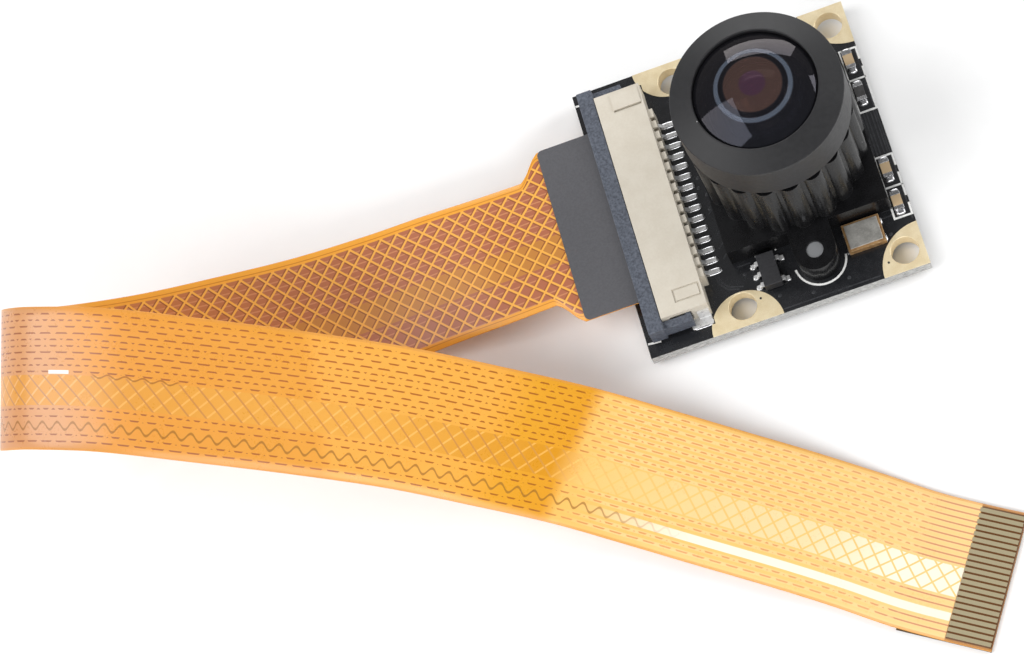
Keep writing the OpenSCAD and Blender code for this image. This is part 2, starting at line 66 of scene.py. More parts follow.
class Tree:
    """Short calls that add and join the nodes of one node tree."""

    def __init__(self, tree: bpy.types.NodeTree) -> None:
        """Keeps the tree."""
        self.tree = tree

    def node(self, kind: str, **props: object) -> bpy.types.Node:
        """A new node of that kind, with its properties set."""
        made = self.tree.nodes.new(kind)
        for key, value in props.items():
            setattr(made, key, value)
        return made

    def put(self, socket: Socket, value: Optional[Value]) -> None:
        """Joins a socket to another, or sets its plain value."""
        if isinstance(value, bpy.types.NodeSocket):
            self.tree.links.new(value, socket)
        elif isinstance(value, tuple) and socket.type == "RGBA":
            socket.default_value = (*value, 1.0)
        elif value is not None:
            socket.default_value = value

    def math(self, operation: str, a: Value, b: Value = 0.0, c: Value = 0.0, clamp: bool = False) -> Socket:
        """One Math node's result."""
        made = self.node("ShaderNodeMath", operation=operation, use_clamp=clamp)
        for socket, value in zip(made.inputs, (a, b, c)):
            self.put(socket, value)
        return made.outputs[0]

    def mix(self, share: Value, a: Value, b: Value, blend: str = "MIX") -> Socket:
        """A colour mixed from a to b."""
        made = self.node("ShaderNodeMix", data_type="RGBA", blend_type=blend)
        for slot, value in ((0, share), (6, a), (7, b)):
            self.put(made.inputs[slot], value)
        return made.outputs[2]

    def step(self, value: Value, start: Value, end: Value, low: Value = 0.0, high: Value = 1.0) -> Socket:
        """A smooth step from low to high as value goes from start to end."""
        made = self.node("ShaderNodeMapRange", interpolation_type="SMOOTHSTEP")
        for socket, given in zip(made.inputs, (value, start, end, low, high)):
            self.put(socket, given)
        return made.outputs[0]

    def ramp(self, value: Value, stops: Sequence[tuple[float, Colour]]) -> Socket:
        """A colour read from a row of stops."""
        made = self.node("ShaderNodeValToRGB")
        elements = made.color_ramp.elements
        for place, colour in stops[2:]:
            elements.new(place)
        for element, (place, colour) in zip(elements, sorted(stops)):
            element.position, element.color = place, (*colour, 1.0)
        self.put(made.inputs[0], value)
        return made.outputs[0]

    def band(self, value: Value, centre: Value, half: Value, soft: float = 0.03) -> Socket:
        """A mask of 1 within half of centre, with soft edges."""
        away = self.math("ABSOLUTE", self.math("SUBTRACT", value, centre))
        return self.step(away, half, self.math("ADD", half, soft), 1.0, 0.0)

    def most(self, *masks: Socket) -> Socket:
        """The highest of several masks."""
        result = masks[0]
        for mask in masks[1:]:
            result = self.math("MAXIMUM", result, mask)
        return result

    def times(self, *masks: Value) -> Socket:
        """Several masks multiplied."""
        result = masks[0]
        for mask in masks[1:]:
            result = self.math("MULTIPLY", result, mask)
        return result

    def place(self) -> Socket:
        """The point on the piece, in millimetres."""
        where = self.node("ShaderNodeTexCoord").outputs["Object"]
        made = self.node("ShaderNodeVectorMath", operation="SCALE")
        self.put(made.inputs[0], where)
        made.inputs["Scale"].default_value = 1000.0
        return made.outputs[0]

    def noise(self, where: Value, scale: Value, detail: float = 3.0) -> Socket:
        """Cloudy noise from 0 to 1."""
        made = self.node("ShaderNodeTexNoise")
        self.put(made.inputs["Vector"], where)
        self.put(made.inputs["Scale"], scale)
        made.inputs["Detail"].default_value = detail
        return made.outputs["Fac"]

    def call(self, group: bpy.types.NodeTree, **inputs: Value) -> bpy.types.Node:
        """A group placed in the tree; underscores in names stand for spaces."""
        made = self.node("ShaderNodeGroup", node_tree=group)
        for key, value in inputs.items():
            self.put(made.inputs[key.replace("_", " ")], value)
        return made


class Effects:
    """The shader groups that several finishes share, each built once."""

    made: dict[str, bpy.types.NodeTree] = {}

    @classmethod
    def group(cls, name: str, ins: Sequence[tuple[str, str]], outs: Sequence[tuple[str, str]],
              build: Callable[[Tree, bpy.types.Node, bpy.types.Node], None]) -> bpy.types.NodeTree:
        """A group with named sockets, built when it is first asked for.

        Args:
            name: the group's name.
            ins: the name and kind of each input.
            outs: the name and kind of each output.
            build: fills the tree between its input and output nodes.

        Returns:
            The group's node tree.
        """
        if name not in cls.made:
            tree = bpy.data.node_groups.new(name, "ShaderNodeTree")
            for side, sockets in (("INPUT", ins), ("OUTPUT", outs)):
                for label, kind in sockets:
                    tree.interface.new_socket(label, in_out=side, socket_type="NodeSocket" + kind)
            maker = Tree(tree)
            build(maker, maker.node("NodeGroupInput"), maker.node("NodeGroupOutput"))
            cls.made[name] = tree
        return cls.made[name]

    @classmethod
    def grain(cls) -> bpy.types.NodeTree:
        """Mottled colour and a fine relief."""

        def build(t: Tree, given: bpy.types.Node, out: bpy.types.Node) -> None:
            """Fills the grain group."""
            where = t.place()
            broad = t.noise(where, given.outputs["Scale"], 2.0)
            fine = t.noise(where, t.math("MULTIPLY", given.outputs["Scale"], 9.0), 4.0)
            share = t.math("ADD", t.math("MULTIPLY", broad, 0.55), t.math("MULTIPLY", fine, 0.45))
            share = t.step(share, 0.3, 0.7)
            t.put(out.inputs["Colour"], t.mix(share, given.outputs["Dark"], given.outputs["Light"]))
            t.put(out.inputs["Mask"], share)
            t.put(out.inputs["Height"], fine)

        return cls.group("fine_grain", [("Scale", "Float"), ("Dark", "Color"), ("Light", "Color")],
                         [("Colour", "Color"), ("Mask", "Float"), ("Height", "Float")], build)

    @classmethod
    def wear(cls) -> bpy.types.NodeTree:
        """A broken mask along sharp edges."""

        def build(t: Tree, given: bpy.types.Node, out: bpy.types.Node) -> None:
            """Fills the wear group."""
            rounded = t.node("ShaderNodeBevel", samples=6)
            rounded.inputs["Radius"].default_value = 0.09 * MM
            flat = t.node("ShaderNodeNewGeometry").outputs["Normal"]
            dot = t.node("ShaderNodeVectorMath", operation="DOT_PRODUCT")
            t.put(dot.inputs[0], rounded.outputs[0])
            t.put(dot.inputs[1], flat)
            edge = t.step(dot.outputs["Value"], 0.99, 0.86)
            broken = t.step(t.noise(t.place(), given.outputs["Scale"], 5.0), 0.38, 0.62)
            t.put(out.inputs["Mask"], t.times(edge, broken, given.outputs["Amount"]))

        return cls.group("edge_wear", [("Scale", "Float"), ("Amount", "Float")], [("Mask", "Float")], build)

    @classmethod
    def dust(cls) -> bpy.types.NodeTree:
        """A few tiny pale specks."""

        def build(t: Tree, given: bpy.types.Node, out: bpy.types.Node) -> None:
            """Fills the dust group."""
            cells = t.node("ShaderNodeTexVoronoi")
            t.put(cells.inputs["Vector"], t.place())
            t.put(cells.inputs["Scale"], given.outputs["Scale"])
            chance = t.node("ShaderNodeSeparateColor")
            t.put(chance.inputs[0], cells.outputs["Color"])
            size = t.math("MULTIPLY", chance.outputs[1], 0.11)
            speck = t.step(cells.outputs["Distance"], size, t.math("MULTIPLY", size, 0.5))
            kept = t.math("LESS_THAN", chance.outputs[0], given.outputs["Amount"])
            t.put(out.inputs["Mask"], t.times(speck, kept))

        return cls.group("dust_specks", [("Scale", "Float"), ("Amount", "Float")], [("Mask", "Float")], build)

    @classmethod
    def lattice(cls) -> bpy.types.NodeTree:
        """Crossed lines at 45 degrees along a strip, with a painted shadow line to one side of each."""

        def build(t: Tree, given: bpy.types.Node, out: bpy.types.Node) -> None:
            """Fills the lattice group."""
            along, across = given.outputs["Along"], given.outputs["Across"]
            period, half = given.outputs["Period"], given.outputs["Half"]
            lines, shades = [], []
            for way in ("ADD", "SUBTRACT"):
                turn = t.math("DIVIDE", t.math(way, along, across), period)
                away = t.math("MULTIPLY", t.math("SUBTRACT", t.math("FRACT", turn), 0.5), period)
                lines.append(t.band(away, 0.0, half, 0.06))
                # Shade: a painted shadow, a thin line just to one side of each crossed line.
                shades.append(t.band(away, t.math("ADD", half, 0.12), 0.02, 0.08))
            t.put(out.inputs["Lines"], t.most(*lines))
            t.put(out.inputs["Stroke"], lines[0])
            t.put(out.inputs["Shade"], t.most(*shades))

        return cls.group("cable_lattice",
                         [("Along", "Float"), ("Across", "Float"), ("Period", "Float"), ("Half", "Float")],
                         [("Lines", "Float"), ("Stroke", "Float"), ("Shade", "Float")],
                         build)

    @classmethod
    def rows(cls) -> bpy.types.NodeTree:
        """The narrow gaps between the cable's tracks."""

        def build(t: Tree, given: bpy.types.Node, out: bpy.types.Node) -> None:
            """Fills the rows group."""
            across, half = given.outputs["Across"], given.outputs["Half"]
            first, pitch = 0.55, 0.5144
            turn = t.math("DIVIDE", t.math("SUBTRACT", across, first), pitch)
            offset = t.math("SUBTRACT", t.math("FRACT", t.math("ADD", turn, 0.5)), 0.5)
            away = t.math("MULTIPLY", offset, pitch)
            upper = t.times(t.band(away, 0.0, half, 0.04), t.step(across, 0.3, 0.34),
                            t.step(across, 5.4, 5.36))
            lower = [t.band(across, at, half, 0.04) for at in (-2.45, -3.04, -4.5, -5.05)]
            t.put(out.inputs["Gaps"], t.most(upper, *lower))
            lane = t.times(t.step(across, -2.2, -2.12), t.step(across, 0.32, 0.24))
            t.put(out.inputs["Lane"], lane)

        return cls.group("track_rows", [("Across", "Float"), ("Half", "Float")],
                         [("Gaps", "Float"), ("Lane", "Float")], build)


@dataclass(frozen=True)
class Finish:
    """A grained finish with edge wear, dust and a fine relief."""

    name: str
    slot: str
    dark: Colour
    light: Colour
    rough: tuple[float, float] = (0.4, 0.55)
    metal: float = 0.0
    scale: float = 2.0
    relief: float = 0.0
    wear: float = 0.0
    wear_colour: Colour = (0.3, 0.3, 0.3)
    dust: float = 0.0
    coat: float = 0.0
    specular: float = 0.5
    clear: float = 0.0

    def shader(self, tree: Tree) -> bpy.types.Node:
        """The finish's own surface shader, joined to the output."""
        surface = tree.node("ShaderNodeBsdfPrincipled")
        out = tree.node("ShaderNodeOutputMaterial")
        tree.put(out.inputs["Surface"], surface.outputs[0])
        surface.inputs["Metallic"].default_value = self.metal
        surface.inputs["Coat Weight"].default_value = self.coat
        surface.inputs["Specular IOR Level"].default_value = self.specular
        surface.inputs["Transmission Weight"].default_value = self.clear
        return surface

    def colour(self, tree: Tree, grain: bpy.types.Node) -> Socket:
        """The colour under wear and dust."""
        return grain.outputs["Colour"]

    def material(self) -> bpy.types.Material:
        """The finish's material, made once."""
        if self.name in bpy.data.materials:
            return bpy.data.materials[self.name]
        made = bpy.data.materials.new(self.name)
        made.use_nodes = True
        made.node_tree.nodes.clear()
        t = Tree(made.node_tree)
        surface = self.shader(t)
        grain = t.call(Effects.grain(), Scale=self.scale, Dark=self.dark, Light=self.light)
        colour = self.colour(t, grain)
        if self.wear:
            wear = t.call(Effects.wear(), Scale=6.0, Amount=self.wear).outputs["Mask"]
            colour = t.mix(wear, colour, self.wear_colour)
        if self.dust:
            dust = t.call(Effects.dust(), Scale=1.3, Amount=self.dust).outputs["Mask"]
            colour = t.mix(dust, colour, srgb(190, 190, 190))
        t.put(surface.inputs["Base Color"], colour)
        rough = t.node("ShaderNodeMapRange")
        for socket, value in zip(rough.inputs, (grain.outputs["Mask"], 0.0, 1.0, *self.rough)):
            t.put(socket, value)
        t.put(surface.inputs["Roughness"], rough.outputs[0])
        if self.relief:
            bump = t.node("ShaderNodeBump")
            bump.inputs["Strength"].default_value = 1.0
            bump.inputs["Distance"].default_value = self.relief * MM
            t.put(bump.inputs["Height"], grain.outputs["Height"])
            t.put(surface.inputs["Normal"], bump.outputs[0])
        return made


@dataclass(frozen=True)
class BoardFinish(Finish):
    """Solder mask on the faces and bare laminate on the cut sides."""

    side_dark: Colour = srgb(118, 118, 116)
    side_light: Colour = srgb(186, 186, 182)

    def colour(self, tree: Tree, grain: bpy.types.Node) -> Socket:
        """Mask colour on top and layered laminate on the sides."""
        t = tree
        parts = t.node("ShaderNodeSeparateXYZ")
        t.put(parts.inputs[0], t.node("ShaderNodeNewGeometry").outputs["Normal"])
        side = t.step(t.math("ABSOLUTE", parts.outputs["Z"]), 0.7, 0.3)
        where = t.node("ShaderNodeMapping")
        where.inputs["Scale"].default_value = (2.0, 2.0, 14.0)
        t.put(where.inputs["Vector"], t.place())
        layers = t.step(t.noise(where.outputs[0], 1.0, 6.0), 0.35, 0.65)
        cut = t.mix(layers, self.side_dark, self.side_light)
        return t.mix(side, grain.outputs["Colour"], cut)


@dataclass(frozen=True)
class LensGlass(Finish):
    """Coated glass with a thin film, and tinted rings painted on it: dark and brown ones for the glasses behind, pale
    blue and purple ones as painted reflections.
    """

    film: float = 110.0
    axis: Point = (3.55, 0.0)
    rings: tuple[tuple[float, float, Colour], ...] = ()

    def shader(self, tree: Tree) -> bpy.types.Node:
        """Glass with a thin film."""
        surface = super().shader(tree)
        surface.inputs["IOR"].default_value = 1.52
        surface.inputs["Thin Film Thickness"].default_value = self.film
        surface.inputs["Thin Film IOR"].default_value = 1.38
        return surface

    def colour(self, tree: Tree, grain: bpy.types.Node) -> Socket:
        """The tint, with a ring of its own at each named radius."""
        t = tree
        parts = t.node("ShaderNodeSeparateXYZ")
        t.put(parts.inputs[0], t.place())
        across = [t.math("SUBTRACT", parts.outputs[k], self.axis[k]) for k in (0, 1)]
        radius = t.math("SQRT", t.math("ADD", *(t.math("MULTIPLY", d, d) for d in across)))
        colour = grain.outputs["Colour"]
        for centre, half, tint in self.rings:
            colour = t.mix(t.band(radius, centre, half, 0.12), colour, tint)
        return colour


class Side(Enum):
    """The cable's three kinds of surface."""

    HATCH = "hatch"
    TRACKS = "tracks"
    EDGE = "edge"


@dataclass(frozen=True)
class CableFilm(Finish):
    """Amber film with its copper pattern and painted shade and reflection, drawn by the strip's own map in
    millimetres.
    """

    side: Side = Side.EDGE
    period: float = 1.43
    # lean: how far the sharp edge of the painted reflection slants across the film.
    lean: Point = (0.296, -0.165)
    zigzag_v: float = -3.8
    bare_from: float = 144.35

    def strip(self, t: Tree) -> tuple[Socket, Socket]:
        """How far along and across the strip a point lies, in millimetres."""
        parts = t.node("ShaderNodeSeparateXYZ")
        t.put(parts.inputs[0], t.node("ShaderNodeUVMap", uv_map="strip").outputs[0])
        return parts.outputs["X"], parts.outputs["Y"]

    def hatch(self, t: Tree, s: Socket, v: Socket) -> Socket:
        """The hatched copper plane: pale lines, brown windows with a painted shadow beside each line, and solid
        margins.
        """
        lattice = t.call(Effects.lattice(), Along=s, Across=v, Period=self.period, Half=0.09)
        rows = t.call(Effects.rows(), Across=v, Half=0.04)
        windows = t.mix(t.step(s, 12.0, 60.0), srgb(176, 106, 76), srgb(196, 124, 70))
        windows = t.mix(rows.outputs["Lane"], windows, srgb(196, 132, 62))
        windows = t.mix(t.times(rows.outputs["Gaps"], 0.6), windows, srgb(214, 150, 104))
        # Dark brown painted shadow beside each hatch line.
        colour = t.mix(lattice.outputs["Shade"], windows, srgb(146, 84, 48))
        lines = srgb(242, 178, 78)
        colour = t.mix(lattice.outputs["Lines"], colour, lines)
        away = t.math("ABSOLUTE", v)
        flare = t.step(s, 10.4, 8.2, 0.0, 2.2)
        rim = t.math("SUBTRACT", away, flare)
        colour = t.mix(t.step(rim, 5.02, 5.1), colour, srgb(238, 166, 58))
        colour = t.mix(t.band(rim, 5.3, 0.02, 0.04), colour, srgb(206, 132, 40))
        return colour

    def tracks(self, t: Tree, s: Socket, v: Socket) -> Socket:
        """The track side: lengthwise tracks, a lattice lane and a zig-zag, under painted shade and reflection along
        the film.
        """
        lattice = t.call(Effects.lattice(), Along=s, Across=v, Period=self.period, Half=0.15)
        thin = t.call(Effects.lattice(), Along=s, Across=v, Period=self.period, Half=0.07)
        rows = t.call(Effects.rows(), Across=v, Half=0.045)
        wide = t.call(Effects.rows(), Across=v, Half=0.13)
        slant = t.step(s, 98.0, 102.0, *self.lean)
        share = t.math("DIVIDE", t.math("ADD", s, t.math("MULTIPLY", slant, v)), 150.0)
        # Painted shade and reflection along the film: darker and pinkish stretches near the loop, a deep golden band
        # near 107 to 111 mm, and a lighter stretch beyond about 112 mm that stands for a light mirrored in the film.
        track = t.ramp(share, [
            (0.0, srgb(230, 154, 62)), (0.40, srgb(200, 138, 88)), (0.455, srgb(210, 152, 104)),
            (0.485, srgb(220, 148, 62)), (0.598, srgb(224, 154, 56)), (0.606, srgb(234, 166, 70)),
            (0.69, srgb(236, 168, 66)), (0.712, srgb(224, 158, 36)), (0.740, srgb(220, 152, 30)),
            (0.746, srgb(240, 186, 98)), (0.88, srgb(244, 198, 118)), (1.0, srgb(250, 208, 146))])
        # The gaps carry the same painted bands of shade and reflection.
        gap = t.ramp(share, [
            (0.0, srgb(150, 84, 40)), (0.45, srgb(156, 96, 62)), (0.60, srgb(172, 100, 42)),
            (0.735, srgb(166, 98, 20)), (0.752, srgb(216, 150, 84)), (0.925, srgb(224, 164, 110)),
            (0.94, srgb(206, 146, 108))])
        # Painted highlight: pale glossy lines along the track gaps beyond about 112 mm.
        gap_highlight = t.times(wide.outputs["Gaps"], t.step(s, 111.0, 116.0, 0.0, 0.6))
        track = t.mix(gap_highlight, track, srgb(250, 208, 150))
        dashes = t.mix(t.times(lattice.outputs["Lines"], t.step(s, 141.0, 139.5)), gap, track)
        colour = t.mix(rows.outputs["Gaps"], track, dashes)
        # Lattice-lane windows with the same painted bands, going near white towards the end as painted light.
        pale = t.ramp(share, [
            (0.0, srgb(200, 136, 76)), (0.5, srgb(216, 150, 60)), (0.63, srgb(228, 164, 66)),
            (0.735, srgb(212, 144, 18)), (0.752, srgb(240, 192, 112)), (0.88, srgb(250, 216, 166)),
            (0.93, srgb(253, 238, 216))])
        lane = t.mix(thin.outputs["Lines"], pale, t.mix(0.4, track, srgb(246, 196, 116)))
        # Painted shadow: a dark stroke along one family of the lattice lines.
        dark = t.times(thin.outputs["Stroke"], t.step(s, 118.0, 104.0, 0.1, 0.6), t.step(s, 140.0, 132.0))
        lane = t.mix(dark, lane, gap)
        colour = t.mix(rows.outputs["Lane"], colour, lane)
        swing = t.math("SINE", t.math("MULTIPLY", s, 2 * math.pi / self.period))
        clear = t.times(t.band(v, self.zigzag_v, 0.3, 0.06), t.step(s, 112.0, 124.0), t.step(s, 144.5, 144.3))
        colour = t.mix(clear, colour, srgb(250, 238, 218))
        zigzag = t.band(v, t.math("ADD", t.math("MULTIPLY", swing, 0.3), self.zigzag_v), 0.06, 0.09)
        colour = t.mix(t.times(zigzag, t.step(s, 124.0, 112.0, 0.0, 0.7)), colour, srgb(140, 92, 34))
        small = t.band(v, t.math("ADD", t.math("MULTIPLY", swing, 0.14), 0.28), 0.04, 0.06)
        colour = t.mix(t.times(small, t.band(s, 75.5, 3.3, 0.4), 0.6), colour, srgb(128, 72, 30))
        dash = t.times(t.band(s, 69.1, 0.85, 0.1), t.band(v, 0.52, 0.12, 0.05))
        colour = t.mix(dash, colour, srgb(240, 236, 230))
        bare = t.step(s, self.bare_from, 144.5)
        colour = t.mix(bare, colour, srgb(96, 58, 18))
        edge = t.step(t.math("ABSOLUTE", v), 5.5, 5.6)
        return t.mix(t.times(edge, 0.6), colour, srgb(214, 146, 66))

    def colour(self, tree: Tree, grain: bpy.types.Node) -> Socket:
        """The side's pattern under a faint cloudiness."""
        s, v = self.strip(tree)
        if self.side is Side.EDGE:
            return grain.outputs["Colour"]
        pattern = self.hatch(tree, s, v) if self.side is Side.HATCH else self.tracks(tree, s, v)
        return tree.mix(0.12, pattern, grain.outputs["Colour"], "MULTIPLY")


class Finishes:
    """Every finish of the camera board."""

    board = BoardFinish("board_mask", "solder_mask", srgb(22, 23, 26), srgb(34, 35, 38), (0.2, 0.3),
                        scale=0.8, relief=0.002, dust=0.02, coat=0.3)
    trace = Finish("mask_over_copper", "solder_mask", srgb(44, 45, 48), srgb(58, 59, 62), (0.22, 0.34),
                   scale=1.5)
    silk = Finish("white_print", "solder_mask", srgb(212, 212, 210), srgb(240, 240, 238), (0.6, 0.75),
                  scale=5.0, relief=0.004)
    land = Finish("land_plating", "gold_plate", srgb(232, 212, 170), srgb(244, 228, 192), (0.34, 0.44),
                  0.35, scale=1.2, relief=0.002, wear=0.3, wear_colour=srgb(250, 240, 214))
    holder = Finish("holder_gloss", "holder_plastic", srgb(13, 13, 14), srgb(18, 18, 20), (0.24, 0.32),
                    scale=1.0, relief=0.002, dust=0.03, wear=0.12, wear_colour=srgb(52, 52, 54),
                    specular=0.38)
    # The screw steel is darkened so that the screw tips in the ears show as dark holes: painted shade.
    screw = Finish("screw_steel", "screw_steel", srgb(62, 62, 66), srgb(96, 96, 102), (0.3, 0.45), 1.0,
                   scale=4.0, relief=0.003, wear=0.4, wear_colour=srgb(150, 150, 154))
    barrel = Finish("barrel_satin", "anodised_black", srgb(29, 29, 31), srgb(35, 35, 37), (0.44, 0.54),
                    0.0, scale=3.0, relief=0.002, dust=0.04, wear=0.4, wear_colour=srgb(92, 92, 95),
                    specular=0.4)
    inside = Finish("barrel_inside", "anodised_black", srgb(8, 8, 9), srgb(14, 14, 16), (0.5, 0.65),
                    scale=3.0)
    ivory = Finish("housing_ivory", "ivory_plastic", srgb(202, 194, 179), srgb(209, 202, 188),
                   (0.42, 0.55), scale=0.7, relief=0.002, dust=0.02, wear=0.2,
                   wear_colour=srgb(222, 216, 204))
    slate = Finish("slider_slate", "slate_plastic", srgb(54, 58, 68), srgb(100, 106, 118), (0.45, 0.6),
                   scale=5.5, relief=0.008, wear=0.4, wear_colour=srgb(132, 138, 150))
    tin = Finish("bright_tin", "tinned_metal", srgb(178, 178, 180), srgb(222, 222, 224), (0.16, 0.3), 1.0,
                 scale=3.0, relief=0.004)
    lead = Finish("bright_lead", "tinned_metal", srgb(214, 214, 214), srgb(240, 240, 240), (0.26, 0.36),
                  0.55, scale=3.0, relief=0.002)
    capacitor = Finish("tan_ceramic", "tan_ceramic", srgb(150, 128, 94), srgb(178, 154, 116), (0.4, 0.55),
                       scale=3.0, relief=0.006)
    resistor = Finish("resistor_coat", "resistor_black", srgb(54, 53, 54), srgb(74, 73, 73), (0.35, 0.5),
                      scale=3.0, relief=0.004)
    crystal = Finish("crystal_base", "crystal_ceramic", srgb(146, 108, 70), srgb(190, 152, 104),
                     (0.34, 0.48), 0.4, scale=2.5, relief=0.003, wear=0.6,
                     wear_colour=srgb(238, 226, 190))
    lid = Finish("crystal_lid", "crystal_lid_metal", srgb(168, 166, 160), srgb(200, 198, 192),
                 (0.35, 0.5), 0.7, scale=1.2, relief=0.004, wear=0.5, wear_colour=srgb(230, 228, 220))
    package = Finish("moulded_package", "package_black", srgb(30, 30, 33), srgb(44, 44, 47), (0.5, 0.62),
                     scale=5.0, relief=0.01, wear=0.3, wear_colour=srgb(80, 80, 84))
    silicon = Finish("sensor_chip", "sensor_silicon", srgb(26, 28, 36), srgb(44, 48, 60), (0.3, 0.45),
                     scale=4.0)
    filter_glass = Finish("filter_glass", "filter_glass", srgb(190, 226, 226), srgb(206, 236, 236),
                          (0.03, 0.06), clear=1.0)
    cover_glass = Finish("window_glass", "window_glass", srgb(216, 220, 232), srgb(230, 234, 242),
                         (0.03, 0.06), clear=1.0)
    # Painted rings on the front glass: a brown disc and a dark ring stand for the glasses behind; the pale blue ring
    # and the purple centre are painted reflections.
    front_glass = LensGlass("front_glass", "coated_glass", srgb(44, 44, 50), srgb(54, 54, 60), (0.02, 0.04),
                            clear=0.8, dust=0.02, specular=0.16,
                            rings=((0.0, 2.3, srgb(128, 100, 92)), (0.0, 1.0, srgb(120, 84, 108)),
                                   (2.98, 0.12, srgb(150, 164, 186)), (2.62, 0.1, srgb(40, 40, 46))))
    inner_glass = LensGlass("inner_glass", "coated_glass", srgb(206, 190, 214), srgb(226, 214, 232),
                            (0.01, 0.02), clear=1.0, film=260.0)
    stiffener = Finish("stiffener_grey", "grey_stiffener", srgb(78, 78, 82), srgb(88, 88, 92), (0.5, 0.6),
                       scale=6.0, relief=0.003, dust=0.03, wear=0.4, wear_colour=srgb(120, 120, 124))
    contact = Finish("contact_gold", "contact_gold", srgb(250, 238, 206), srgb(255, 250, 228), (0.3, 0.4),
                     0.15, scale=3.0, relief=0.002)
    brown = Finish("stiffener_brown", "brown_stiffener", srgb(74, 56, 34), srgb(96, 76, 48), (0.5, 0.6),
                   scale=4.0)
    film_edge = CableFilm("film_edge", "amber_film", srgb(206, 132, 44), srgb(232, 162, 66), (0.35, 0.45))
    film_hatch = CableFilm("film_hatch", "amber_film", srgb(236, 226, 210), srgb(255, 255, 255),
                           (0.28, 0.36), scale=0.5, relief=0.002, side=Side.HATCH, dust=0.01)
    film_tracks = CableFilm("film_tracks", "amber_film", srgb(238, 230, 216), srgb(255, 255, 255),
                            (0.26, 0.34), scale=0.5, relief=0.002, side=Side.TRACKS)


# ---- mesh building ----


